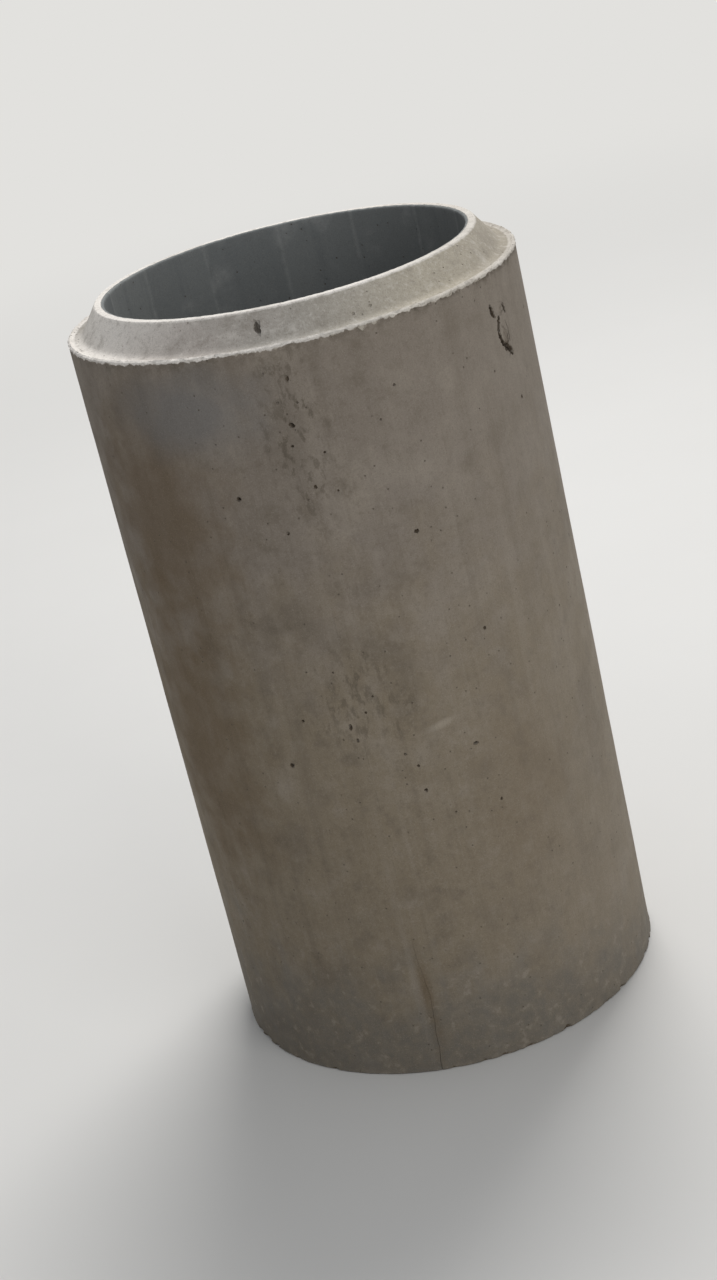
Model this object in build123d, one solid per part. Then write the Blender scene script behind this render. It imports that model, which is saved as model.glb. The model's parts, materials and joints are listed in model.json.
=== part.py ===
from build123d import *
import os

# A concrete sewer pipe with a rebated joint, cast in one piece. It stands on its
# socket end with the spigot up. All sizes are in millimetres. The origin is the
# centre of the socket's lip, and +Z runs along the pipe's axis to the spigot.

# Barrel
BORE_DIAMETER = 450
WALL_THICKNESS = 57
# From the socket's lip to the spigot's shoulder, which is what one pipe adds to a run
LAYING_LENGTH = 965

# Spigot: the tapered nose that enters the next pipe's socket
SPIGOT_LENGTH = 35
SHOULDER_WIDTH = 18
RIM_WIDTH = 14

# Socket: the same taper cut into the wall at the other end, with room for the joint's seal
JOINT_CLEARANCE = 3
END_GAP = 3

# Radii of the cast corners
ARRIS_RADIUS = 3
ROOT_RADIUS = 9
NOSE_RADIUS = 3
MOUTH_RADIUS = 5
SEAT_RADIUS = 4

bore_radius = BORE_DIAMETER / 2
outer_radius = bore_radius + WALL_THICKNESS

spigot_root_radius = outer_radius - SHOULDER_WIDTH
spigot_nose_radius = bore_radius + RIM_WIDTH
spigot_end = LAYING_LENGTH + SPIGOT_LENGTH

socket_depth = SPIGOT_LENGTH + END_GAP
socket_mouth_radius = spigot_root_radius + JOINT_CLEARANCE
socket_seat_radius = spigot_nose_radius + JOINT_CLEARANCE


def wall_section():
    """Half of the pipe's lengthwise section: each corner as (distance from the axis,
    height, corner radius), from the lip outside, up over the spigot and down the bore."""
    spigot = [
        (outer_radius, LAYING_LENGTH, ARRIS_RADIUS),
        (spigot_root_radius, LAYING_LENGTH, ROOT_RADIUS),
        (spigot_nose_radius, spigot_end, NOSE_RADIUS),
        (bore_radius, spigot_end, MOUTH_RADIUS),
    ]
    socket = [
        (bore_radius, socket_depth, MOUTH_RADIUS),
        (socket_seat_radius, socket_depth, SEAT_RADIUS),
        (socket_mouth_radius, 0, NOSE_RADIUS),
        (outer_radius, 0, ARRIS_RADIUS),
    ]
    corners = spigot + socket
    outline = FilletPolyline(
        *[(distance, height) for distance, height, _ in corners],
        radius=[corner_radius for _, _, corner_radius in corners],
        close=True,
    )
    return make_face(Plane.XZ * outline)


concrete_pipe = revolve(wall_section(), axis=Axis.Z)
concrete_pipe.label = "concrete_pipe"

os.makedirs("parts", exist_ok=True)
export_step(concrete_pipe, "parts/concrete_pipe.step")

volume_litres = concrete_pipe.volume / 1e6
print(f"concrete_pipe: {volume_litres:.1f} litres, {spigot_end} mm long")
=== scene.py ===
# %% [markdown]
# # A concrete sewer pipe, cast in one piece
#
# The real pipe is one lump of concrete: a straight barrel, a tapered spigot at the
# top and, under it, the socket that takes the next pipe's spigot. The frame already
# holds it as a plain turned solid at its real size. What is left to make is what
# casting and a season in a yard do to such a solid: a ragged arris, grit on the
# ends, blowholes, a gouge, a hairline crack, stains and dust.
#
# We load the frame first, because every size below is worked out from it.

# %% Load the frame
import json
import math
import random
from collections import namedtuple

import bmesh
import bpy
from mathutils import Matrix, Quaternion, Vector, noise


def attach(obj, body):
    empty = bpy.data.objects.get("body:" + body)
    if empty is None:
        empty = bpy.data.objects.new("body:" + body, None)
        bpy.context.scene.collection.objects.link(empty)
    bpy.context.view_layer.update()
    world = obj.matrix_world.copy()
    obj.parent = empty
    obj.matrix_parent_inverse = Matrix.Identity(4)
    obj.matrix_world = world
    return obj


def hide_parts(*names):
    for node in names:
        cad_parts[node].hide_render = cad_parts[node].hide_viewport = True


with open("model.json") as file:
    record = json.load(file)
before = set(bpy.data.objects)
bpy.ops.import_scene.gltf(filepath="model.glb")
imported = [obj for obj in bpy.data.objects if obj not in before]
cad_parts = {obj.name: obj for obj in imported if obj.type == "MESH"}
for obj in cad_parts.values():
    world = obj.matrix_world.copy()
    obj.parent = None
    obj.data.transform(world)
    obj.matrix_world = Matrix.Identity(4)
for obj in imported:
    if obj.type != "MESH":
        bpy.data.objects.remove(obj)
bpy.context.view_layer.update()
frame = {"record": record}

# %% [markdown]
# ## The sizes
#
# The record's mounts hold the radii and heights that other pipes meet: the bore, the
# barrel, the spigot's shoulder and its rim. Only the widths of the narrow faces are
# written here. A radius that is used twice is worked out once, so the socket always
# fits the spigot with the same gap.

# %% Read the sizes from the frame
MM = 0.001
mounts = {mount["name"]: mount for mount in frame["record"]["mounts"]}

OUTER = mounts["barrel"]["dims"]["r_mm"] * MM
BORE = mounts["bore"]["dims"]["r_mm"] * MM
SHOULDER = mounts["spigot_shoulder"]["pos_m"][2]
TOP = mounts["spigot_rim"]["pos_m"][2]

LEDGE_WIDTH = 18 * MM
RIM_WIDTH = 14 * MM
JOINT_GAP = 3 * MM

SPIGOT_ROOT = OUTER - LEDGE_WIDTH
SPIGOT_NOSE = BORE + RIM_WIDTH
SEAT_HEIGHT = TOP - SHOULDER + JOINT_GAP
print(f"barrel {2 * OUTER:.3f} m across, bore {2 * BORE:.3f} m, spigot {TOP - SHOULDER:.3f} m long")

# %% [markdown]
# ## The camera
#
# The photograph was taken standing, from a little under three metres away, with the
# camera tilted down and rolled, so the pipe leans to the left in it. We stand the
# camera in the same place. A longer lens than the photograph's fills the picture
# with the one pipe, and that changes no angle between the eye and the pipe.

# %% Place the camera
EYE = Vector((0, -2.733, 1.56))
LOOKS_AT = Vector((-0.0195, 0, 0.489))
ROLL = math.radians(13.5)
LENS_MM = 63.2

camera = bpy.data.objects.new("camera", bpy.data.cameras.new("camera"))
bpy.context.scene.collection.objects.link(camera)
camera.data.lens = LENS_MM
camera.rotation_mode = "QUATERNION"
camera.location = EYE
aim = (LOOKS_AT - EYE).to_track_quat("-Z", "Y")
camera.rotation_quaternion = aim @ Quaternion((0, 0, 1), -ROLL)
bpy.context.scene.camera = camera
print(f"the camera stands {(LOOKS_AT - EYE).length:.2f} m from what it looks at")

# %% [markdown]
# ## Directions round the pipe
#
# A pipe is easiest to talk about in degrees and heights. Azimuth 0 faces the camera
# and grows to the right, so a blowhole that the photograph shows is written down as
# "24 degrees left, 0.793 m up" and lands on the wall wherever the camera goes.

# %% Azimuth and height to a point
Place = namedtuple("Place", "point outward")


def facing(azimuth):
    """The level direction that an azimuth in radians points to."""
    return Vector((math.sin(azimuth), -math.cos(azimuth), 0))


def on_wall(degrees, height, radius=OUTER):
    """A place on the barrel, or on any other upright wall of that radius."""
    outward = facing(math.radians(degrees))
    return Place(outward * radius + Vector((0, 0, height)), outward)


print("azimuth 90 faces", tuple(round(part) for part in facing(math.radians(90))))

# %% [markdown]
# ## The outline
#
# A turned form is a list of rings. We walk once round the wall's section, from the
# foot up the barrel, over the spigot, down the bore and back through the socket, and
# lay a ring at every step. Where the cast is ragged the steps are 1.5 mm and a ring
# has 1280 points. On the plain barrel, rings 11 mm apart with 160 points are enough.
# One even grid fine enough for the arris would need over three million triangles. Two
# neighbours have the same count, or one has twice the other's, so they always fit.

# %% List the section's stretches
Stretch = namedtuple("Stretch", "name radius height round step around")

COARSE = 160
MIDDLE, FINE, FINEST = COARSE * 2, COARSE * 4, COARSE * 8

section = [
    Stretch("foot", OUTER, 28 * MM, 0, 4 * MM, MIDDLE),
    Stretch("barrel", OUTER, SHOULDER - 50 * MM, 0, 11 * MM, COARSE),
    Stretch("collar", OUTER, SHOULDER - 32 * MM, 0, 5.5 * MM, MIDDLE),
    Stretch("neck", OUTER, SHOULDER - 17 * MM, 0, 3 * MM, FINE),
    Stretch("burr", OUTER, SHOULDER, 4 * MM, 1.5 * MM, FINEST),
    Stretch("bead", OUTER - 8.5 * MM, SHOULDER, 0, 1.5 * MM, FINEST),
    Stretch("ledge", SPIGOT_ROOT, SHOULDER, 9 * MM, 2 * MM, FINE),
    Stretch("cone", SPIGOT_NOSE, TOP, 3 * MM, 3 * MM, FINE),
    Stretch("rim", BORE, TOP, 5 * MM, 2.6 * MM, FINE),
    Stretch("mouth", BORE, TOP - 30 * MM, 0, 4.5 * MM, MIDDLE),
    Stretch("bore", BORE, SEAT_HEIGHT + 16 * MM, 0, 20 * MM, COARSE),
    Stretch("throat", BORE, SEAT_HEIGHT, 5 * MM, 5 * MM, MIDDLE),
    Stretch("seat", SPIGOT_NOSE + JOINT_GAP, SEAT_HEIGHT, 4 * MM, 4.5 * MM, MIDDLE),
    Stretch("socket", SPIGOT_ROOT + JOINT_GAP, 0, 3 * MM, 5 * MM, MIDDLE),
    Stretch("lip", OUTER, 0, 3 * MM, 4 * MM, MIDDLE),
]
print(len(section), "stretches in the section")

# %% [markdown]
# ## Round corners
#
# A sharp edge of concrete breaks off as the mould is drawn, so the mould rounds it. A
# Bevel could round the finished mesh, but the rings have to stay level, each with the
# count that its stretch asks for. So the corners are rounded in the section: the walk
# stops short of a corner, goes round it on a short curve and sets off along the next
# stretch.

# %% Walk round the section
Ring = namedtuple("Ring", "name spot around")


def corner(stretch):
    return Vector((stretch.radius, stretch.height))


def cut_back(index):
    """How far a corner's round reaches along the two stretches that meet there."""
    before, here, after = (corner(section[(index + k) % len(section)]) for k in (-1, 0, 1))
    turn = (here - before).angle(after - here)
    return section[index].round * math.tan(turn / 2)


def curve(start, through, end, steps=4):
    """Points of a round corner, between the ends of its two straights."""
    for k in range(1, steps):
        t = k / steps
        yield start * (1 - t) ** 2 + through * 2 * t * (1 - t) + end * t ** 2


def walk():
    """Every ring of the pipe, in the section's order."""
    for index, stretch in enumerate(section):
        start, end = corner(section[index - 1]), corner(stretch)
        way = (end - start).normalized()
        start = start + way * cut_back(index - 1)
        stop = end - way * cut_back(index)
        steps = max(1, round((stop - start).length / stretch.step))
        for k in range(steps):
            yield Ring(stretch.name, start.lerp(stop, k / steps), stretch.around)
        if stretch.round:
            after = section[(index + 1) % len(section)]
            leaving = (corner(after) - end).normalized() * cut_back(index)
            around = max(stretch.around, after.around)
            for spot in [stop, *curve(stop, end, end + leaving)]:
                yield Ring(stretch.name, spot, around)


rings = list(walk())
print(len(rings), "rings round the section")

# %% [markdown]
# ## Relief, by noise
#
# A mould leaves a wall that is almost true: it swells and sinks by half a millimetre.
# The ends were struck off by hand, so they are gritty. Both only move points along
# their normals, so noise is enough. The skin starts a little inside the CAD solid, so
# that nothing which stands proud of it leaves the solid's box.

# %% Say how rough each stretch is
SKIN = 1.3 * MM
LIP_SKIN = 0.5 * MM
GRIT = {
    "foot": 0.2, "burr": 0.15, "bead": 0.4, "ledge": 0.6, "cone": 0.25, "rim": 0.45,
    "mouth": 0.15, "throat": 0.3, "seat": 0.7, "socket": 0.4, "lip": 0.8,
}
CALM_EDGE = 40 * MM


def wander(point, size, seed=0):
    """Smooth noise from -1 to 1 whose bumps are about that size."""
    return noise.noise(point / size + Vector((seed * 17.3, seed * 5.1, seed * 9.7)))


def ease(share):
    """A share held between 0 and 1, with soft ends."""
    share = min(1, max(0, share))
    return share * share * (3 - 2 * share)


def swell(point):
    calm = ease(min(point.z, SHOULDER - point.z) / CALM_EDGE)
    return calm * (0.4 * wander(point, 0.16, 1) + 0.2 * wander(point, 0.045, 2)) * MM


def grit(point, amount):
    coarse = wander(point, 7 * MM, 3)
    fine = wander(point, 3.6 * MM, 4)
    return amount * MM * (0.6 * coarse + 0.6 * fine + 0.6 * max(0, coarse - 0.35))


# %% [markdown]
# ## The bead of mortar
#
# At the top outside edge, mortar squeezed out between the mould's skirt and the ring
# that forms the spigot. It set as a bead along the edge, with crumbs that hang down the
# wall, which is the ragged bright line in the photograph. Crumbs made one by one would
# be hundreds of small pieces. Noise says instead how thick the mortar is, how far down
# it reaches and how ragged its border is, and the rings there are close enough to show
# each crumb.

# %% Lay the bead
CRUMB_REACH = 3.6 * MM
BEAD_WIDTH = 8 * MM
BEAD_PROUD = 1.6 * MM


def mortar(ring, point):
    """How far squeezed-out mortar stands proud of the arris, on either side of it."""
    level = Vector((point.x, point.y, 0))
    thick = (0.85 + 0.5 * wander(level, 6 * MM, 9) + 0.25 * wander(point, 3 * MM, 10)) * MM
    if ring.name == "bead":
        return 2.6 * thick * ease(1.3 * (1 - (OUTER - ring.spot.x) / BEAD_WIDTH))
    below = SHOULDER - ring.spot.y
    reach = CRUMB_REACH * (0.8 + 1.2 * wander(level, 30 * MM, 5) + 1.6 * wander(level, 9 * MM, 6))
    return thick * ease((reach - below) / (2 * MM) + 1.5 * wander(point, 5 * MM, 7))


def depth(ring, point):
    """How far a point of the skin lies inside the CAD solid."""
    sunk = LIP_SKIN if ring.name == "lip" else SKIN
    sunk += swell(point)
    if ring.name in GRIT:
        sunk += grit(point, GRIT[ring.name])
    if ring.name in ("burr", "bead"):
        sunk -= mortar(ring, point)
    return max(-BEAD_PROUD if ring.name == "bead" else 0, sunk)


# %% [markdown]
# ## From rings to a mesh
#
# Each ring's points move inwards by their depth. Then neighbouring rings are joined:
# with quads where both have as many points, and with three triangles for every two
# points where one ring has twice as many as the other. The last ring joins the first,
# so the skin is closed, which the cutting further down needs.

# %% Build the skin
def ring_normal(index):
    before, after = rings[index - 1].spot, rings[(index + 1) % len(rings)].spot
    way = (after - before).normalized()
    return Vector((way.y, -way.x))


def ring_points(index):
    ring, normal = rings[index], ring_normal(index)
    for k in range(ring.around):
        way = facing(2 * math.pi * k / ring.around)
        point = way * ring.spot.x + Vector((0, 0, ring.spot.y))
        outward = way * normal.x + Vector((0, 0, normal.y))
        yield point - outward * depth(ring, point)


def stitch(low, high):
    """Faces between two rings of point numbers, one of which may have twice as many."""
    count = min(len(low), len(high))
    for k in range(count):
        low_step, high_step = len(low) // count, len(high) // count
        a, b = low[k * low_step], low[(k + 1) * low_step % len(low)]
        c, d = high[(k + 1) * high_step % len(high)], high[k * high_step]
        if low_step == 2:
            middle = low[k * 2 + 1]
            yield from ((a, middle, d), (middle, b, c), (middle, c, d))
        elif high_step == 2:
            middle = high[k * 2 + 1]
            yield from ((a, b, middle), (a, middle, d), (b, c, middle))
        else:
            yield (a, b, c, d)


def skin():
    points, numbers = [], []
    for index in range(len(rings)):
        first = len(points)
        points.extend(ring_points(index))
        numbers.append(range(first, len(points)))
    faces = [face for k in range(len(rings)) for face in stitch(numbers[k - 1], numbers[k])]
    mesh = bpy.data.meshes.new("concrete_pipe_skin")
    mesh.from_pydata(points, [], faces)
    return mesh


pipe = bpy.data.objects.new("cast_pipe", skin())
bpy.context.scene.collection.objects.link(pipe)
print(sum(len(face.vertices) - 2 for face in pipe.data.polygons), "triangles before anything is cut")

# %% [markdown]
# ## What is cut out of the skin
#
# A blowhole is a bubble of air that was caught against the mould. It has a sharp rim
# and a dark inside, so moving the wall's points would not do: the grid is too coarse
# for a hole 5 mm wide. We make a lumpy blob for each hole and cut all the blobs out
# with a Boolean, which puts new edges only where a hole is. The Boolean wants blobs
# that don't overlap, so blobs that do are dealt into separate layers, and each layer
# is cut by itself.

# %% Deal blobs into layers
class Cutters:
    """Layers of blobs, in each of which no blob meets another."""

    def __init__(self):
        self.layers = []
        self.count = 0

    def layer_for(self, point, reach):
        for mesh, taken in self.layers:
            if all((point - other).length > reach + far for other, far in taken):
                taken.append((point, reach))
                return mesh
        self.layers.append((bmesh.new(), [(point, reach)]))
        return self.layers[-1][0]

    def blob(self, place, wide, tall, deep, detail=2, lumps=0.22, tilt=0, broken=0):
        """A lumpy ball whose middle lies on the skin, so half of it cuts."""
        outward = place.outward.normalized()
        up = Vector((0, 0, 1)) if abs(outward.z) < 0.9 else facing(0)
        side = up.cross(outward).normalized()
        turned = Quaternion(outward, tilt)
        side, up = turned @ side, turned @ outward.cross(side)
        mesh = self.layer_for(place.point, max(wide, tall, deep * 2) * (0.5 + lumps + broken))
        made = bmesh.ops.create_icosphere(mesh, subdivisions=detail, radius=1)
        self.count += 1
        for vertex in made["verts"]:
            way = vertex.co.copy()
            size = 1 + lumps * noise.noise(way * 1.3 + Vector((self.count * 3.7, 0, 0)))
            if broken:
                size += broken * noise.fractal(way * 3 + Vector((0, self.count * 2.3, 0)), 0.8, 2, 4)
            offset = side * way.x * wide / 2 + up * way.y * tall / 2 + outward * way.z * deep
            vertex.co = place.point + offset * size


cutters = Cutters()


def hole(place, width, stretch=1, deep=0.5, tilt=0, detail=2, lumps=0.25, broken=0):
    """A blowhole of that width, sunk into the skin by a share of it."""
    sunk = Place(place.point - place.outward * SKIN, place.outward)
    cutters.blob(sunk, width, width * stretch, width * deep, detail, lumps, tilt, broken)


# %% [markdown]
# ## The holes that the photograph shows
#
# These are the marks that make this pipe this pipe. More than half of them lie close to
# one line that runs down the wall a little left of the middle. That is where the two
# halves of the mould met: air and grout leaked there. Each is written as its azimuth,
# its height in metres, its width in millimetres, and how much taller than wide it is.

# %% Holes seen on the wall
SEAM = -8
SEEN_HOLES = [
    (-5.5, 0.924, 4, 2.2), (-7, 0.870, 6.5, 1.1), (-9, 0.899, 4, 1), (-4.5, 0.895, 3.2, 1.2),
    (-1, 0.831, 4, 0.8), (-8, 0.846, 4.8, 0.7), (-5, 0.793, 4.8, 1.2), (0, 0.783, 3.6, 1.1),
    (-24, 0.793, 7, 0.9), (18.5, 0.885, 3.8, 1), (13.5, 0.851, 3, 1), (16, 0.710, 6.5, 0.9),
    (58.5, 0.802, 5, 1.1), (48.5, 0.851, 3, 1), (28, 0.564, 5, 1), (-14, 0.744, 4.4, 1.2),
    (-22, 0.506, 5, 0.9), (-10.5, 0.491, 5, 1.8), (-6, 0.506, 3.8, 1), (-18, 0.569, 3, 1),
    (-11.5, 0.564, 3, 1), (-3.5, 0.525, 3, 1), (-9.5, 0.472, 4, 1.6), (-13, 0.476, 3, 1),
    (-28, 0.447, 7.4, 1), (1, 0.442, 4, 0.9), (3.5, 0.423, 4, 1.1), (19, 0.428, 7.5, 0.6),
    (22.5, 0.345, 4.4, 1), (4, 0.389, 5, 1.2), (10, 0.350, 3.2, 1),
]
for degrees, height, width, tall in SEEN_HOLES:
    hole(on_wall(degrees, height), width * MM, tall, deep=0.6, lumps=0.5)
print(len(SEEN_HOLES), "blowholes placed by the photograph")

# %% [markdown]
# ## The spigot's pits
#
# The cone was pressed by a steel ring and is smoother than the struck faces above and
# below it. It has one large pit left of the middle and a few small ones to either
# side. A place on the cone needs the cone's own normal, which its two radii give.

# %% Pits in the cone
CONE_SLOPE = math.atan2(SPIGOT_ROOT - SPIGOT_NOSE, TOP - SHOULDER)


def on_cone(degrees, share):
    """A place on the spigot's cone, a share of the way from its root to its nose."""
    radius = SPIGOT_ROOT + (SPIGOT_NOSE - SPIGOT_ROOT) * share
    level = facing(math.radians(degrees))
    outward = level * math.cos(CONE_SLOPE) + Vector((0, 0, math.sin(CONE_SLOPE)))
    return Place(level * radius + Vector((0, 0, SHOULDER + (TOP - SHOULDER) * share)), outward)


hole(on_cone(-10.7, 0.47), 10 * MM, 2.1, deep=0.4, tilt=0.2, detail=4, lumps=0.5, broken=0.18)
SMALL_PITS = [(14, 0.22, 4.5), (19, 0.3, 4), (16, 0.12, 3), (41, 0.5, 3), (-33, 0.7, 3)]
for degrees, share, width in SMALL_PITS:
    hole(on_cone(degrees, share), width * MM)
print(1 + len(SMALL_PITS), "pits in the cone")

# %% [markdown]
# ## A groove
#
# A crack is long and narrow, so no blob can cut it. Its cutter is a wedge that follows
# a path over the wall. At each step the wedge has two points in front of the wall and
# one behind it, and noise makes it wander.

# %% A wedge that follows a path
def along(path, share):
    """The azimuth and height a share of the way along a list of them."""
    reach = share * (len(path) - 1)
    k = min(int(reach), len(path) - 2)
    (a, b), (c, d) = path[k], path[k + 1]
    return a + (c - a) * (reach - k), b + (d - b) * (reach - k)


def groove(path, width, deep, steps, wobble):
    """Adds a layer that cuts a groove. Width and depth are functions of the share."""
    mesh = bmesh.new()
    rows = []
    for k in range(steps + 1):
        share = k / steps
        degrees, height = along(path, share)
        stir = noise.noise_vector(Vector((degrees * 2.1, height * 90, share * 3))) * wobble
        degrees += math.degrees(stir.x / OUTER)
        half = max(0.1 * MM, width(share) / 2 * (1 + 0.6 * stir.y / wobble))
        aside = math.degrees(half / OUTER)
        back = OUTER - SKIN - max(0.3 * MM, deep(share) * (1 + 0.5 * stir.z / wobble))
        corners = ((degrees - aside, OUTER + MM), (degrees + aside, OUTER + MM), (degrees, back))
        rows.append([mesh.verts.new(on_wall(turn, height, radius).point) for turn, radius in corners])
    for low, high in zip(rows, rows[1:]):
        for a, b in ((0, 1), (1, 2), (2, 0)):
            mesh.faces.new((low[a], low[b], high[b], high[a]))
    mesh.faces.new(rows[0][::-1])
    mesh.faces.new(rows[-1])
    bmesh.ops.recalc_face_normals(mesh, faces=mesh.faces)
    cutters.layers.append((mesh, []))


# %% [markdown]
# ## The gouge
#
# Right of the middle, just under the arris, a flake has come off the wall. It left a
# shallow scar with a lens's outline, torn deepest along its left and lower edge, and
# above it two small tears round a fainter scar. All of them are blobs with a finer
# mesh and rougher noise than a blowhole's, because broken concrete is all facets and
# grains. A scar is one flat blob. A tear is a row of small deep ones that run into
# each other.

# %% Cut the gouge
def flake(degrees, height, turned, wide, tall, deep):
    """A flat scar. Turned to the right, by degrees, it is deeper at its right edge."""
    place = on_wall(degrees, height, OUTER - SKIN)
    outward = facing(math.radians(degrees + turned))
    wide, tall, deep = wide * MM, tall * MM, deep * MM
    cutters.blob(Place(place.point, outward), wide, tall, deep, detail=5, lumps=0.4, broken=0.24)


def bulge(share):
    """0 at both ends of a path and 1 in its middle."""
    return math.sin(math.pi * share)


def tear(path, width, deep, count):
    """A row of rough blobs. Width and depth are functions of the share of the way."""
    for k in range(count):
        share = (k + 0.5) / count
        degrees, height = along(path, share)
        place = on_wall(degrees, height, OUTER - SKIN)
        size = width(share) * MM
        cutters.blob(place, size, size * 1.5, deep(share) * MM, detail=3, lumps=0.5, broken=0.3)


flake(56.4, 0.879, turned=4, wide=21, tall=40, deep=1.4)
flake(55.6, 0.916, turned=2, wide=24, tall=17, deep=1.1)
EDGE_TEAR = [
    (55, 0.906), (53.9, 0.897), (53.6, 0.888), (54.3, 0.878), (55.6, 0.870), (57.3, 0.865), (58.3, 0.859),
]
LEFT_TEAR = [(51.9, 0.926), (52.2, 0.917), (53.2, 0.909)]
RIGHT_TEAR = [(58.2, 0.917), (58.5, 0.909)]
tear(EDGE_TEAR, lambda share: 5.8 + 1.2 * share, lambda share: 5 + 1.8 * share, 18)
tear(LEFT_TEAR, lambda share: 3 + 4.2 * bulge(share), lambda share: 3 + 3 * bulge(share), 6)
tear(RIGHT_TEAR, lambda share: 5.4, lambda share: 4, 3)
print(cutters.count, "blobs with the gouge")

# %% [markdown]
# ## The crack
#
# A hairline crack climbs from the foot, close to the mould's seam. It is hardly a
# millimetre wide, and the higher it climbs the narrower and shallower it gets.

# %% Cut the crack
CRACK = [(-8.5, -0.003), (-7.6, 0.058), (-7, 0.112), (-8.4, 0.180), (-8, 0.204)]
CRACK_STEPS = 56
CRACK_WOBBLE = 1.6 * MM


def crack_width(share):
    return (0.95 - 0.65 * share) * MM


def crack_depth(share):
    return (4 - 3.5 * share) * MM


groove(CRACK, crack_width, crack_depth, CRACK_STEPS, CRACK_WOBBLE)
print("the crack climbs to", CRACK[-1][1], "m")

# %% [markdown]
# ## The holes that it does not show
#
# The rest of the wall, the bore and the two ends have the same bubbles, so they are
# scattered by a seeded draw: the same ones each run. Small ones are far more common
# than large ones, and some crowd along the mould's two seams. The side that the
# photograph shows only gets small extra ones, so that the marks above still lead.

# %% Scatter blowholes
draw = random.Random(41)
SEEN_SIDE = 66
WALL_HOLES = 190
BORE_HOLES = 50
CONE_HOLES = 30
LEDGE_HOLES = 36


def bubble_width(largest):
    return min(largest, 1.6 + draw.expovariate(1 / 1.5)) * MM


for k in range(WALL_HOLES):
    near_seam = draw.random() < 0.3
    degrees = draw.gauss(draw.choice((SEAM, SEAM + 180)), 7) if near_seam else draw.uniform(-180, 180)
    seen = abs((degrees + 180) % 360 - 180) < SEEN_SIDE
    width = bubble_width(2.8 if seen else 8)
    height, stretch = draw.uniform(0.02, 0.94), draw.uniform(0.8, 1.4)
    hole(on_wall(degrees, height), width, stretch, detail=2 if width > 3.6 * MM else 1)

for k in range(BORE_HOLES):
    level = on_wall(draw.uniform(-180, 180), draw.uniform(0.06, 0.98), BORE)
    hole(Place(level.point, -level.outward), bubble_width(6), draw.uniform(0.8, 1.5), detail=1)

for k in range(CONE_HOLES):
    hole(on_cone(draw.uniform(-180, 180), draw.uniform(0.15, 0.9)), bubble_width(2.6), detail=1)

for k in range(LEDGE_HOLES):
    level = facing(draw.uniform(-math.pi, math.pi)) * (OUTER - draw.uniform(7, 13) * MM)
    hole(Place(level + Vector((0, 0, SHOULDER)), Vector((0, 0, 1))), bubble_width(3.5), detail=1)
print(cutters.count, "blobs so far")

# %% [markdown]
# ## Honeycomb
#
# Where the mix was too dry, gaps stay open between the stones, and the wall looks
# like a patch of crumbs. A patch is many small blobs that run into each other, most
# in its middle and fewer at its edge. Both patches are on the far side of the pipe.

# %% Cut two patches of honeycomb
def honeycomb(degrees, height, wide, tall, count):
    for k in range(count):
        turn = draw.uniform(0, 2 * math.pi)
        far = draw.random() ** 0.7
        side = math.degrees(math.cos(turn) * far * wide / 2 / OUTER)
        up = math.sin(turn) * far * tall / 2
        width = draw.uniform(2.5, 9) * MM * (1.1 - 0.5 * far)
        stretch, tilt = draw.uniform(0.4, 1.5), draw.uniform(-1, 1)
        hole(on_wall(degrees + side, height + up), width, stretch, 0.6, tilt, lumps=0.5, broken=0.25)


HONEYCOMB = [(118, 0.68, 0.11, 0.06, 40), (-152, 0.43, 0.08, 0.09, 36)]
for degrees, height, wide, tall, count in HONEYCOMB:
    honeycomb(degrees, height, wide, tall, count)
    print(f"{count} gaps in the patch at {degrees} degrees")

# %% [markdown]
# ## Chips
#
# Every edge of a concrete pipe is knocked. A chip is a flat-sided flake, so its blob
# is the coarsest ball there is, with only twenty faces. Most chips are small and a
# few are the size of a thumbnail.

# %% Chip the edges
def chip(radius, height, outward_share, small, large, count):
    """Flakes off an edge whose chips face out and up by that share."""
    for k in range(count):
        level = facing(draw.uniform(-math.pi, math.pi))
        way = (level * outward_share + Vector((0, 0, 1 - abs(outward_share)))).normalized()
        size = draw.triangular(small, large, small) * MM
        point = level * radius + Vector((0, 0, height)) + way * size * 0.12
        cutters.blob(Place(point, way), size * draw.uniform(1.2, 2.6), size, size * 0.5, 1, 0.35)


chip(OUTER - 1 * MM, SHOULDER, outward_share=0.5, small=4, large=11, count=48)
chip(SPIGOT_NOSE, TOP - 0.6 * MM, outward_share=0.4, small=3, large=7, count=26)
chip(BORE + 0.5 * MM, TOP - 0.6 * MM, outward_share=-0.4, small=3, large=8, count=34)
chip(OUTER - 1 * MM, 1.5 * MM, outward_share=0.9, small=5, large=14, count=44)
print(cutters.count, "blobs in", len(cutters.layers), "layers")

# %% [markdown]
# ## The cutting itself
#
# One Boolean for each layer. The Manifold solver is many times faster than the exact
# one, and all it asks for is closed meshes, which ours are.

# %% Cut every layer
def cut(body, layer):
    mesh = bpy.data.meshes.new("cutter")
    layer.to_mesh(mesh)
    layer.free()
    cutter = bpy.data.objects.new("cutter", mesh)
    bpy.context.scene.collection.objects.link(cutter)
    boolean = body.modifiers.new("cut", "BOOLEAN")
    boolean.operation = "DIFFERENCE"
    boolean.solver = "MANIFOLD"
    boolean.object = cutter
    evaluated = body.evaluated_get(bpy.context.evaluated_depsgraph_get())
    result = bpy.data.meshes.new_from_object(evaluated)
    body.modifiers.clear()
    body.data = result
    bpy.data.objects.remove(cutter)


for layer, taken in cutters.layers:
    cut(pipe, layer)
print("cut", len(cutters.layers), "layers")

# %% [markdown]
# ## Cleaning and measuring
#
# Where two cuts almost touch, the Boolean can leave two faces back to back with nothing
# between them. Such a face has only one neighbour, and both are taken out.

# %% Clean and measure the mesh
def lone(face):
    """True where all of a face's edges lead to one and the same neighbour."""
    return len({near for edge in face.edges for near in edge.link_faces}) < 3


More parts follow.
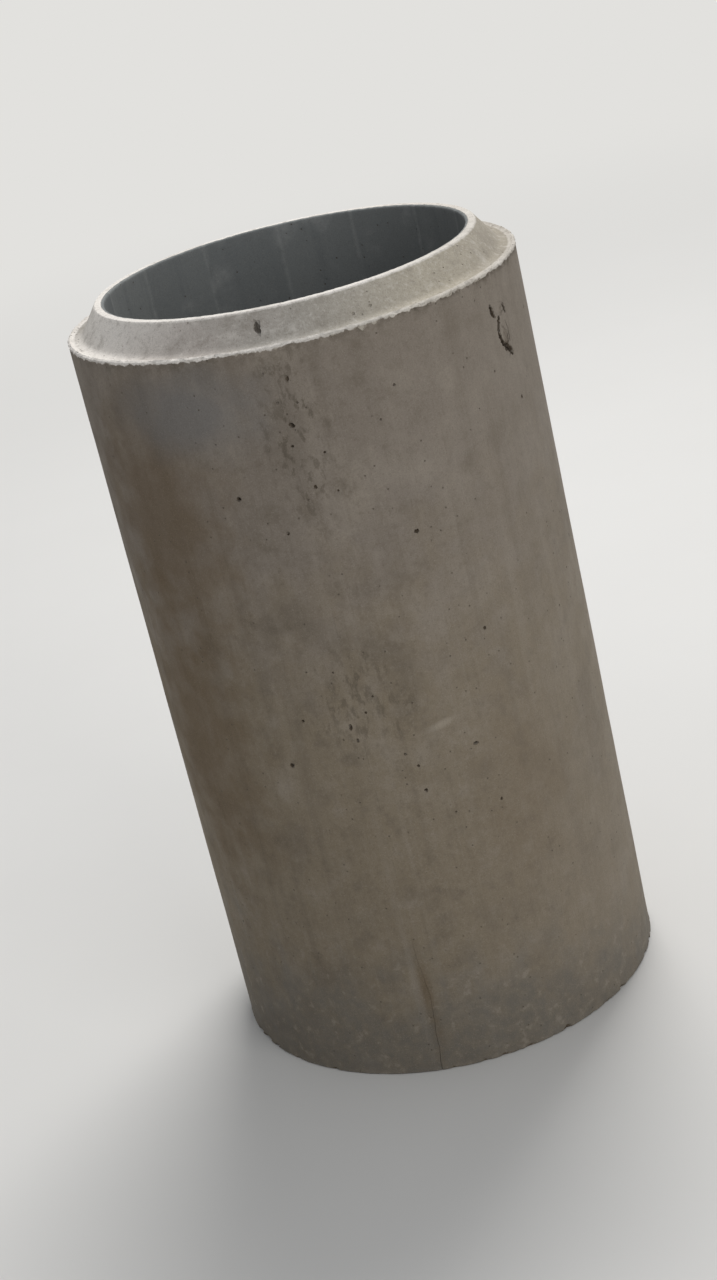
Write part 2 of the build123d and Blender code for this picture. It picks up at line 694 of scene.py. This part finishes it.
body = bmesh.new()
body.from_mesh(pipe.data)
slivers = [face for face in body.faces if lone(face)]
bmesh.ops.delete(body, geom=slivers, context="FACES")
open_edges = sum(not edge.is_manifold for edge in body.edges)
triangles = sum(len(face.verts) - 2 for face in body.faces)
body.to_mesh(pipe.data)
body.free()
print(f"{triangles} triangles, {open_edges} open edges, {len(slivers)} faces taken out")

# %% [markdown]
# ## Shading
#
# Smooth shading makes the rings look round. An edge stays sharp where its two faces
# turn by more than 38 degrees, which is what the rims of holes and chips do.

# %% Shade it
SHARP = math.radians(38)
pipe.data.name = "cast_pipe"
pipe.data.polygons.foreach_set("use_smooth", [True] * len(pipe.data.polygons))
pipe.data.set_sharp_from_angle(angle=SHARP)
print(sum(edge.use_edge_sharp for edge in pipe.data.edges), "sharp edges")

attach(pipe, "root")
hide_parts("concrete_pipe")

# %% [markdown]
# ## Sums on sockets
#
# A finish is mostly arithmetic on masks. Written as nodes by hand it is hard to read,
# so a small class wraps a socket, and plus, minus, times and over on it add Math nodes.

# %% A socket that can be added and multiplied
class Wire:
    """One output socket of a material. A sum on it adds a Math node."""

    def __init__(self, tree, socket):
        self.tree = tree
        self.socket = socket

    def node(self, kind, settings, inputs, output=0):
        """Adds a node: its settings first, then values or links on its sockets."""
        made = self.tree.nodes.new(kind)
        for name, value in settings.items():
            setattr(made, name, value)
        for name, value in inputs.items():
            if isinstance(value, Wire):
                self.tree.links.new(value.socket, made.inputs[name])
            else:
                made.inputs[name].default_value = value
        return Wire(self.tree, made.outputs[output])

    def math(self, operation, *values):
        return self.node("ShaderNodeMath", {"operation": operation}, dict(enumerate(values)))

    def __add__(self, other):
        return self.math("ADD", self, other)

    def __sub__(self, other):
        return self.math("SUBTRACT", self, other)

    def __rsub__(self, other):
        return self.math("SUBTRACT", other, self)

    def __mul__(self, other):
        return self.math("MULTIPLY", self, other)

    def __truediv__(self, other):
        return self.math("DIVIDE", self, other)

    def __rtruediv__(self, other):
        return self.math("DIVIDE", other, self)

    __radd__ = __add__
    __rmul__ = __mul__

    def high(self, other):
        return self.math("MAXIMUM", self, other)

    def size(self):
        return self.math("ABSOLUTE", self)

    def root(self):
        return self.math("SQRT", self)

    def between(self, low, high, to_low=0.0, to_high=1.0):
        """Grows smoothly from one value to the other as this goes from low to high."""
        inputs = {"Value": self, "From Min": low, "From Max": high, "To Min": to_low, "To Max": to_high}
        return self.node("ShaderNodeMapRange", {"interpolation_type": "SMOOTHSTEP"}, inputs)


# %% [markdown]
# ## A few words of the finish's language
#
# Colours are written as they look on a screen, from 0 to 255, and turned into the
# light values that Blender mixes. Noise is asked for by the size of its bumps in
# metres, because that is how one sees concrete: clouds a hand wide, streaks a finger
# wide, sand a millimetre wide.

# %% Colours, noise and marks
def tone(red, green, blue):
    """A colour as seen on a screen, as light."""
    parts = [part / 255 for part in (red, green, blue)]
    return tuple(part / 12.92 if part <= 0.04045 else ((part + 0.055) / 1.055) ** 2.4 for part in parts)


def blend(under, over, mask):
    """Paints one colour over another where the mask is 1."""
    made = mask.tree.nodes.new("ShaderNodeMix")
    made.data_type = "RGBA"
    mask.tree.links.new(mask.socket, made.inputs[0])
    for socket, colour in ((made.inputs[6], under), (made.inputs[7], over)):
        if isinstance(colour, Wire):
            mask.tree.links.new(colour.socket, socket)
        else:
            socket.default_value = (*colour, 1)
    return Wire(mask.tree, made.outputs[2])


def cloud(spot, size, detail=3.0, roughness=0.55, squash=(1, 1, 1), shift=0.0):
    """Noise from 0 to 1 whose bumps are about that size in metres."""
    scale, location = [part / size for part in squash], (shift, shift * 0.7, shift * 1.9)
    moved = spot.node("ShaderNodeMapping", {}, {"Vector": spot, "Scale": scale, "Location": location})
    inputs = {"Vector": moved, "Scale": 1.0, "Detail": detail, "Roughness": roughness}
    return spot.node("ShaderNodeTexNoise", {}, inputs)


def streak(spot, width, length, shift):
    """Noise drawn out upright, as drags and runs are."""
    return cloud(spot, width, 3.0, squash=(1, 1, width / length), shift=shift)


def clouded(colour, clouds, pale_tone, dark_tone):
    """Paints the heights of each noise pale and its hollows dark, by two strengths."""
    for drift, pale, dark in clouds:
        colour = blend(colour, pale_tone, drift.between(0.52, 0.76, 0.0, pale))
        colour = blend(colour, dark_tone, drift.between(0.48, 0.26, 0.0, dark))
    return colour


def grains(spot, size):
    """A field of grains: how far a point is from its grain's middle, and the lot that the grain drew."""
    distance = spot.node("ShaderNodeTexVoronoi", {}, {"Vector": spot, "Scale": 1 / size}, "Distance")
    drawn = Wire(spot.tree, distance.socket.node.outputs["Color"])
    return distance, spot.node("ShaderNodeSeparateColor", {}, {"Color": drawn}, "Red")


# %% [markdown]
# ## Where on the pipe a point is
#
# The finish has to know the wall from the ends and the bore. Distance from the axis
# and height say that, and a little noise on both keeps the borders from being ruled
# lines. The ends' colour, pale mortar with its painted highlight, runs a few millimetres
# down the wall, as far as the mortar was smeared. The same distance also tells a crumb,
# which stands proud of the wall, broken concrete, which lies a little behind it, and the
# bottom of a hole, which is painted dark as dirt and as painted shade. A stain is a ball: a
# Mapping node moves, turns and squashes the space round a place on the wall until the
# stain's ellipse is one, and the distance from its middle is the mask. Five noises of
# different sizes are made once here and shared by all that follows, because a new noise
# for every stain would make the render slow.

# %% Masks by place
PATCH_REACH = 0.2


class Ground:
    """The places of the pipe, for a material to paint on."""

    def __init__(self, material):
        tree = material.node_tree
        self.spot = Wire(tree, tree.nodes.new("ShaderNodeTexCoord").outputs["Object"])
        split = tree.nodes.new("ShaderNodeSeparateXYZ")
        tree.links.new(self.spot.socket, split.inputs[0])
        self.x, self.y, self.z = (Wire(tree, output) for output in split.outputs)
        self.radius = (self.x * self.x + self.y * self.y).root()
        rough = cloud(self.spot, 6 * MM, 2.0) - 0.5
        ragged_radius = self.radius + rough * (1.6 * MM)
        ragged_height = self.z + rough * (2.2 * MM)
        upright = ragged_radius.between(OUTER - 9 * MM, OUTER - 7 * MM)
        hanging = ragged_height + (cloud(self.spot, 11 * MM, 3.0, shift=2.6) - 0.5) * (11 * MM)
        self.wall = upright * hanging.between(SHOULDER - 3 * MM, SHOULDER - 4.6 * MM)
        self.bore = ragged_radius.between(BORE + 5.6 * MM, BORE + 4 * MM)
        self.ends = (1 - self.wall) * (1 - self.bore)
        self.ledge = ragged_radius.between(OUTER - 11 * MM, OUTER - 8.5 * MM)
        self.rim = ragged_height.between(TOP - 4.2 * MM, TOP - 2.2 * MM)
        near_top = self.z.between(SHOULDER - 22 * MM, SHOULDER - 18 * MM)
        self.crumbs = self.radius.between(OUTER - 1.15 * MM, OUTER - 0.85 * MM) * near_top
        self.broken = self.radius.between(OUTER - 2.2 * MM, OUTER - 3.2 * MM) * self.wall
        # Depth in the wall's holes and the cone's pits, painted dark as dirt and as painted shade.
        self.deep = self.radius.between(OUTER - 3.2 * MM, OUTER - 6.5 * MM) * self.wall
        self.deep = self.deep.high(self.cone_pits() * 0.75)
        self.broad = cloud(self.spot, 48 * MM, 4.0)
        self.fray = self.broad - 0.5
        self.middling = cloud(self.spot, 15 * MM, 3.0, 0.6, shift=6.6)
        self.fleck = cloud(self.spot, 8 * MM, 3.0, 0.6, shift=7.9)
        self.drag = streak(self.spot, 22 * MM, 0.5, 1.3)
        self.scratch = streak(self.spot, 4 * MM, 0.09, 9.2)

    def cone_pits(self):
        """1 in the holes of the spigot's cone, by how far they lie behind its slope."""
        across, up = math.cos(CONE_SLOPE), math.sin(CONE_SLOPE)
        behind = (self.radius - SPIGOT_ROOT) * across + (self.z - SHOULDER) * up
        clear = self.z.between(SHOULDER + 8 * MM, SHOULDER + 10 * MM) * (1 - self.bore)
        return behind.between(-2.6 * MM, -4.6 * MM) * clear * self.z.between(TOP - 4 * MM, TOP - 6 * MM)

    def across(self, degrees):
        """Distance along the wall from an azimuth, to the right."""
        turn = math.radians(degrees)
        return self.x * math.cos(turn) + self.y * math.sin(turn)

    def near(self, degrees):
        """1 on the half of the pipe that faces an azimuth."""
        turn = math.radians(degrees)
        return (self.x * math.sin(turn) - self.y * math.cos(turn)).between(0, 20 * MM)

    def patch(self, degrees, height, wide, tall, amount, ragged=0.5, tilt=0.0):
        """A soft blot on the wall with a ragged edge. In its middle it has that amount."""
        inputs = {
            "Vector": self.spot,
            "Location": on_wall(degrees, height).point,
            "Rotation": (0, -math.radians(tilt), math.radians(degrees)),
            "Scale": (wide / 2, PATCH_REACH, tall / 2),
        }
        moved = self.spot.node("ShaderNodeMapping", {"vector_type": "TEXTURE"}, inputs)
        far = moved.node("ShaderNodeVectorMath", {"operation": "LENGTH"}, {"Vector": moved}, "Value")
        return (far + self.fray * (2 * ragged)).between(1.15, 0.2, 0.0, amount)


# %% [markdown]
# ## The wall's colour
#
# Cast against oiled steel, the wall is a mid grey-brown, and water has stained it: rust
# brown at the left, cool grey under the arris, dark along the seams. The colours were
# set by holding the render against the photograph. A painted picture would blur close
# up, so each stain is a soft patch instead. It is written as its azimuth, how high it
# sits, how wide and how tall it is in metres, its colour, and its strength.

# %% Choose the wall's colours
WALL_HIGH = tone(121, 112, 102)
WALL_LOW = tone(121, 110, 93)
WALL_PALE = tone(142, 133, 121)
WALL_DARK = tone(97, 88, 76)
COOL_GREY = tone(110, 108, 106)
RUST_WATER = tone(96, 79, 57)
# A dark stain colour, which is also the painted shade under the bead and in the pores.
SEAM_STAIN_AND_SHADE = tone(81, 73, 62)
SLURRY = tone(170, 161, 147)
# Grey dust colour, which at the foot is also painted shade.
YARD_DUST_AND_SHADE = tone(98, 94, 87)
BROKEN = tone(82, 71, 58)
STONE = tone(116, 108, 98)
# Dirt colour that is also painted shade in holes, pits, the gouge and gaps under the bead.
HOLE_DIRT_AND_SHADE = tone(60, 52, 43)
CRUMB = tone(166, 159, 147)

STAINS = [
    (-50, 0.76, 0.26, 0.44, RUST_WATER, 0.6),
    (-58, 0.47, 0.24, 0.5, RUST_WATER, 0.6),
    (-32, 0.90, 0.25, 0.13, COOL_GREY, 0.75),
    (SEAM, 0.85, 0.07, 0.21, SEAM_STAIN_AND_SHADE, 0.22),
    (30, 0.35, 0.19, 0.29, RUST_WATER, 0.2),
    (-7.8, 0.08, 0.022, 0.27, RUST_WATER, 0.5),
    (-10, 0.10, 0.014, 0.24, WALL_PALE, 0.35),
    (100, 0.60, 0.19, 0.49, RUST_WATER, 0.4),
    (150, 0.84, 0.29, 0.19, COOL_GREY, 0.6),
    (172, 0.58, 0.08, 0.68, SEAM_STAIN_AND_SHADE, 0.35),
    (-118, 0.39, 0.23, 0.39, RUST_WATER, 0.4),
    (-100, 0.88, 0.19, 0.18, COOL_GREY, 0.5),
]
print(len(STAINS), "stains on the wall")

# %% [markdown]
# ## The marks on the wall
#
# The grey-brown is cooler near the top and warmer below. Clouds a hand wide lie over it
# and thin streaks run down it, and the right-hand side is painted paler as painted light.
# Then come the stains, a painted shade under the bead with painted shadows in its gaps, the
# dark dots along the seam, a pale smear at mid height, the grey dust and painted shade at the
# foot and the bare inside of the concrete. Each function takes the colour so far and gives it
# back painted over, so the order of the coats is the order of lines in the last function.

# %% Paint the wall
def mottle(ground, colour):
    """Clouds of several sizes, and the drags of the mould."""
    hand = cloud(ground.spot, 0.1, 3.0, 0.6, shift=3.1)
    finger = cloud(ground.spot, 32 * MM, 3.0, 0.6, shift=5.7)
    fine = cloud(ground.spot, 3 * MM, 2.0, 0.6, shift=2.4)
    clouds = [(hand, 0.5, 0.6), (finger, 0.36, 0.48), (ground.fleck, 0.2, 0.34), (fine, 0.14, 0.2)]
    drags = [(ground.drag, 0.26, 0.3), (ground.scratch, 0.1, 0.17)]
    return clouded(colour, clouds + drags, WALL_PALE, WALL_DARK)


def under_bead(ground, colour):
    """Painted shade below the bead of mortar, and painted shadows in the gaps under it at the right."""
    # Painted shade: a patchy dark band just under the bead.
    painted_shade_under_bead = ground.z.between(SHOULDER - 20 * MM, SHOULDER - 6 * MM)
    colour = blend(colour, SEAM_STAIN_AND_SHADE, painted_shade_under_bead * ground.middling.between(0.42, 0.62, 0.0, 0.4))
    # Painted shadows in the gaps under the bead's lumps, at the right.
    gaps = ground.z.between(SHOULDER - 11 * MM, SHOULDER - 4 * MM) * ground.near(50)
    gaps = gaps * ground.fleck.between(0.44, 0.56)
    return blend(colour, HOLE_DIRT_AND_SHADE, gaps * ground.across(50).size().between(0.2, 0.1) * 0.6)


def foot_dust_and_shade(ground, colour):
    """Grey dust and painted shade, darker at the foot and reaching higher at the left, and pale splashes
    of mud over it.
    """
    reach = 0.12 - ground.x * 0.15 + ground.fray * 0.26 + (ground.drag - 0.5) * 0.16
    above = ground.z - reach
    worn = ground.middling.between(0.3, 0.7, 0.8, 0.45)
    # Dust and painted shade: the foot is painted a darker grey.
    colour = blend(colour, YARD_DUST_AND_SHADE, above.between(0.07, -0.09) * worn)
    splashes = ground.middling.between(0.58, 0.7, 0.0, 0.4)
    return blend(colour, WALL_PALE, splashes * above.between(0.12, -0.02))


def seam_spots(ground, colour):
    """Dark dots where grout leaked from the seam, in a high patch and a lower one."""
    spots = cloud(ground.spot, 9 * MM, 4.0, 0.65, squash=(1, 1, 0.5), shift=4.9).between(0.5, 0.62)
    upper = ground.patch(SEAM + 2, 0.86, 0.1, 0.29, 0.65)
    lower = ground.patch(SEAM, 0.515, 0.16, 0.21, 0.5)
    return blend(colour, SEAM_STAIN_AND_SHADE, spots * upper.high(lower))


def broken_concrete(ground, colour):
    """Brown cement with pale stones in it, in the honeycomb and wherever a flake is off."""
    stones = grains(ground.spot, 4 * MM)[1].between(0.6, 0.75)
    crumbly = ground.fleck.between(0.46, 0.6)
    dry, dry_too = [
        ground.patch(degrees, height, 1.2 * wide, 1.3 * tall, 0.6)
        for degrees, height, wide, tall, count in HONEYCOMB
    ]
    crumbly = (crumbly * dry.high(dry_too)).high(ground.broken)
    return blend(colour, blend(BROKEN, STONE, stones), crumbly)


def wall_colour(ground):
    warmth = ground.z + ground.fray * 0.4
    colour = blend(WALL_HIGH, WALL_LOW, warmth.between(0.8, 0.45))
    colour = mottle(ground, colour)
    # Painted light: the wall is painted paler towards its right-hand side, where the light falls.
    colour = blend(colour, WALL_PALE, ground.across(62).between(-0.3, 0.02) * ground.near(62) * 0.35)
    for degrees, height, wide, tall, paint, amount in STAINS:
        colour = blend(colour, paint, ground.patch(degrees, height, wide, tall, amount))
    colour = under_bead(ground, colour)
    colour = seam_spots(ground, colour)
    colour = blend(colour, SLURRY, ground.patch(11.5, 0.467, 0.05, 0.014, 0.35, ragged=0.3, tilt=10))
    colour = foot_dust_and_shade(ground, colour)
    colour = broken_concrete(ground, colour)
    return blend(colour, CRUMB, ground.crumbs * ground.fleck.between(0.3, 0.56))


# %% [markdown]
# ## The ends and the bore
#
# The struck faces never touched oil: they are paler, and warmer where the mix was rich.
# The ledge and the rim are painted almost white, as pale mortar and as a painted highlight
# that is strongest at the left, and the left side of the ends gets a painted highlight of its
# own. The bore saw neither sun nor rain. It is a cool dark grey, with an upright band for
# each plate of the core it was cast on.

# %% Paint the ends and the bore
END_GREY = tone(157, 152, 144)
END_WARM = tone(166, 158, 142)
END_PINK = tone(182, 173, 166)
END_WHITE = tone(219, 213, 205)
END_DARK = tone(128, 121, 111)
BORE_GREY = tone(122, 124, 122)
BORE_DARK = tone(101, 104, 104)
BORE_LINE = tone(150, 150, 147)
BORE_PLATES = 14
print(f"a plate of the core is {2 * math.pi * BORE / BORE_PLATES:.3f} m wide")


def end_colour(ground):
    colour = blend(END_GREY, END_WARM, ground.x.between(-0.05, 0.2))
    colour = blend(colour, END_PINK, ground.patch(-42, TOP, 0.3, 0.3, 0.7))
    # Painted light: the ends are painted nearly white at the left, where the light falls on them.
    painted_light_left = ground.across(-66).size().between(0.16, 0.03) * ground.near(-66)
    colour = blend(colour, END_WHITE, painted_light_left * 0.9)
    colour = blend(colour, END_DARK, ground.x.between(0.16, 0.25, 0.0, 0.45))
    # The ledge and the rim are painted white: pale mortar, and a painted highlight stronger at the left.
    pale_mortar_and_highlight = ground.ledge * ground.x.between(-0.15, 0.12, 0.95, 0.45)
    pale_mortar_and_highlight = pale_mortar_and_highlight.high(ground.rim * ground.x.between(0.05, 0.22, 1.0, 0.65))
    colour = blend(colour, END_WHITE, pale_mortar_and_highlight)
    hand = cloud(ground.spot, 0.07, 3.0, 0.6, shift=2.2)
    grit = cloud(ground.spot, 4 * MM, 3.0, 0.6, shift=6.3)
    clouds = [(hand, 0.3, 0.35), (ground.middling, 0.3, 0.4), (grit, 0.25, 0.35)]
    return clouded(colour, clouds, END_WHITE, END_DARK)


def bore_turn(ground):
    """The turn round the bore, counted in plates."""
    turn = ground.x.math("ARCTAN2", ground.x, ground.y) / (2 * math.pi) + 0.5
    return turn * BORE_PLATES


def plate_lines(turn):
    """1 on the line where two plates of the core met."""
    middle = turn.math("FRACT", turn)
    return (middle - 0.5).size().between(0.45, 0.5)


def bore_colour(ground):
    turn = bore_turn(ground)
    number = turn.math("FLOOR", turn)
    plate = turn.node("ShaderNodeTexWhiteNoise", {"noise_dimensions": "1D"}, {"W": number}, "Value")
    colour = blend(BORE_GREY, BORE_DARK, plate * 0.7)
    colour = blend(colour, BORE_DARK, ground.drag.between(0.5, 0.75, 0.0, 0.6))
    colour = blend(colour, BORE_LINE, ground.broad.between(0.54, 0.8, 0.0, 0.5))
    colour = blend(colour, BORE_DARK, ground.fleck.between(0.5, 0.25, 0.0, 0.3))
    return blend(colour, BORE_LINE, plate_lines(turn) * ground.middling.between(0.35, 0.6, 0.0, 0.28))


# %% [markdown]
# ## Sand, pores and roughness
#
# Close up, concrete is sand in cement. Each grain has its own shade, and between the
# grains are pores too small to be worth a face. Both are painted, the pores dark as painted
# shade in their hollows, and both are in the bump: the sand by a tenth of a millimetre, the
# pores by a little over half of one. The struck ends get four times as much sand as the wall.

# %% Make the concrete
LUMP_HEIGHT = 0.5 * MM
SAND_HEIGHT = 0.12 * MM
DRAG_HEIGHT = 0.08 * MM
PORE_DEPTH = 0.6 * MM
RIDGE_HEIGHT = 0.3 * MM
DULL = 0.92
SHINE = 0.3


def concrete():
    material = bpy.data.materials.new("cast_concrete")
    material.use_nodes = True
    shader = material.node_tree.nodes["Principled BSDF"]
    ground = Ground(material)
    spot = ground.spot

    colour = blend(wall_colour(ground), end_colour(ground), ground.ends)
    colour = blend(colour, bore_colour(ground), ground.bore)
    # Dirt and painted shade in the bottom of holes, pits and the gouge, by depth.
    colour = blend(colour, HOLE_DIRT_AND_SHADE, ground.deep)

    sand = cloud(spot, 1.6 * MM, 2.0, 0.7, shift=1.1)
    distance, lot = grains(spot, 12 * MM)
    pores = distance.between(0.12, 0.06) * lot.between(0.6, 0.66)
    colour = blend(colour, SEAM_STAIN_AND_SHADE, sand.between(0.48, 0.3, 0.0, 0.28))
    colour = blend(colour, SLURRY, sand.between(0.55, 0.74, 0.0, 0.2))
    # The pores are painted dark: painted shade in holes too small to be worth a face.
    colour = blend(colour, SEAM_STAIN_AND_SHADE, pores * 0.75)

    dense = ground.broad.between(0.42, 0.62, 0.0, 0.16)
    roughness = DULL - dense * (1 - ground.ends)

    fine = cloud(spot, 2.4 * MM, 3.0, 0.65, shift=2.7) * SAND_HEIGHT
    lumps = ground.middling * LUMP_HEIGHT
    drags = ground.scratch * DRAG_HEIGHT * ground.wall
    rough = ground.ends * 2.2 + ground.broken * 4 + 0.7
    height = lumps + rough * fine + drags - pores * PORE_DEPTH
    height = height + plate_lines(bore_turn(ground)) * ground.bore * RIDGE_HEIGHT
    seam = ground.across(SEAM).size().between(1.6 * MM, 0.3 * MM) * ground.wall
    height = height + seam * ground.broad.between(0.42, 0.6, 0.0, RIDGE_HEIGHT)
    bump = spot.node("ShaderNodeBump", {}, {"Height": height, "Strength": 1.0, "Distance": 1.0})

    links = material.node_tree.links
    links.new(colour.socket, shader.inputs["Base Color"])
    links.new(roughness.socket, shader.inputs["Roughness"])
    links.new(bump.socket, shader.inputs["Normal"])
    shader.inputs["Specular IOR Level"].default_value = SHINE
    print(len(material.node_tree.nodes), "nodes in the concrete")
    return material


pipe.data.materials.clear()
pipe.data.materials.append(concrete())

# %% [markdown]
# ## The floor
#
# The pipe stands on a plain pale floor. A floor that simply ends would show a horizon,
# so it is wide, and away from the pipe its colour goes over into the backdrop's. Only
# the camera sees that: the light that bounces off the floor stays that of the floor.

# %% Lay the floor
FLOOR_SIZE = 90
FLOOR_PALE = tone(211, 209, 205)
FLOOR_WORN = tone(205, 203, 199)
BACKDROP = tone(226, 225, 222)
FADE_FROM, FADE_TO = 0.9, 6.0


def seen_directly(tree):
    """1 for rays that come straight from the camera, or by way of a mirror or glass."""
    path = tree.nodes.new("ShaderNodeLightPath")
    names = ("Is Camera Ray", "Is Glossy Ray", "Is Transmission Ray")
    straight, mirrored, through = (Wire(tree, path.outputs[name]) for name in names)
    return straight.high(mirrored).high(through)


def mix_shaders(factor, first, second, output):
    tree = factor.tree
    mix = tree.nodes.new("ShaderNodeMixShader")
    tree.links.new(factor.socket, mix.inputs[0])
    tree.links.new(first, mix.inputs[1])
    tree.links.new(second, mix.inputs[2])
    tree.links.new(mix.outputs[0], output)


def floor_finish():
    material = bpy.data.materials.new("pale_floor")
    material.use_nodes = True
    tree = material.node_tree
    shader = tree.nodes["Principled BSDF"]
    spot = Wire(tree, tree.nodes.new("ShaderNodeTexCoord").outputs["Object"])
    far = spot.node("ShaderNodeVectorMath", {"operation": "LENGTH"}, {"Vector": spot}, "Value")
    colour = blend(FLOOR_PALE, FLOOR_WORN, cloud(spot, 0.6, 4.0))
    tree.links.new(colour.socket, shader.inputs["Base Color"])
    shader.inputs["Roughness"].default_value = 0.9
    glow = tree.nodes.new("ShaderNodeEmission")
    glow.inputs["Color"].default_value = (*BACKDROP, 1)
    fade = far.between(FADE_FROM, FADE_TO) * seen_directly(tree)
    mix_shaders(fade, shader.outputs[0], glow.outputs[0], tree.nodes["Material Output"].inputs[0])
    return material


half = FLOOR_SIZE / 2
corners = [(-half, -half, 0), (half, -half, 0), (half, half, 0), (-half, half, 0)]
floor_mesh = bpy.data.meshes.new("floor")
floor_mesh.from_pydata(corners, [], [(0, 1, 2, 3)])
floor_mesh.materials.append(floor_finish())
floor = bpy.data.objects.new("floor", floor_mesh)
bpy.context.scene.collection.objects.link(floor)
print("the floor is", FLOOR_SIZE, "m wide")

# %% [markdown]
# ## The light
#
# In the photograph the sun stands high behind the pipe, a little to the right. It
# makes the rim and the ledge glow and leaves the wall in open shade. One wide lamp
# stands where the sun is, and one in front fills the shade. With the sky they add up
# to a level at which a colour looks as it is written.

# %% Hang the lamps
def lamp(name, azimuth, elevation, distance, size, level):
    """A square lamp aimed at the pipe. Level 1 lights a face turned to it as written."""
    middle = Vector((0, 0, SHOULDER / 2))
    way = facing(math.radians(azimuth)) * math.cos(math.radians(elevation))
    way.z = math.sin(math.radians(elevation))
    light = bpy.data.lights.new(name, "AREA")
    light.shape = "SQUARE"
    light.size = size
    light.energy = level * math.pi ** 2 * distance ** 2
    made = bpy.data.objects.new(name, light)
    made.location = middle + way * distance
    made.rotation_mode = "QUATERNION"
    made.rotation_quaternion = (-way).to_track_quat("-Z", "Y")
    bpy.context.scene.collection.objects.link(made)


lamp("sun_side", azimuth=162, elevation=60, distance=5.6, size=2.2, level=0.85)
lamp("front_fill", azimuth=30, elevation=22, distance=5.4, size=3.2, level=0.31)
print("lamps:", [light.name for light in bpy.data.lights])

SKY = tone(226, 230, 236)
SKY_LEVEL = 0.52
world = bpy.data.worlds.new("sky")
world.use_nodes = True
bpy.context.scene.world = world
sky = world.node_tree.nodes["Background"]
sky.inputs["Color"].default_value = (*SKY, 1)
sky.inputs["Strength"].default_value = SKY_LEVEL
backdrop = world.node_tree.nodes.new("ShaderNodeBackground")
backdrop.inputs["Color"].default_value = (*BACKDROP, 1)
surface = world.node_tree.nodes["World Output"].inputs[0]
mix_shaders(seen_directly(world.node_tree), sky.outputs[0], backdrop.outputs[0], surface)
bpy.context.scene.view_settings.view_transform = "Standard"
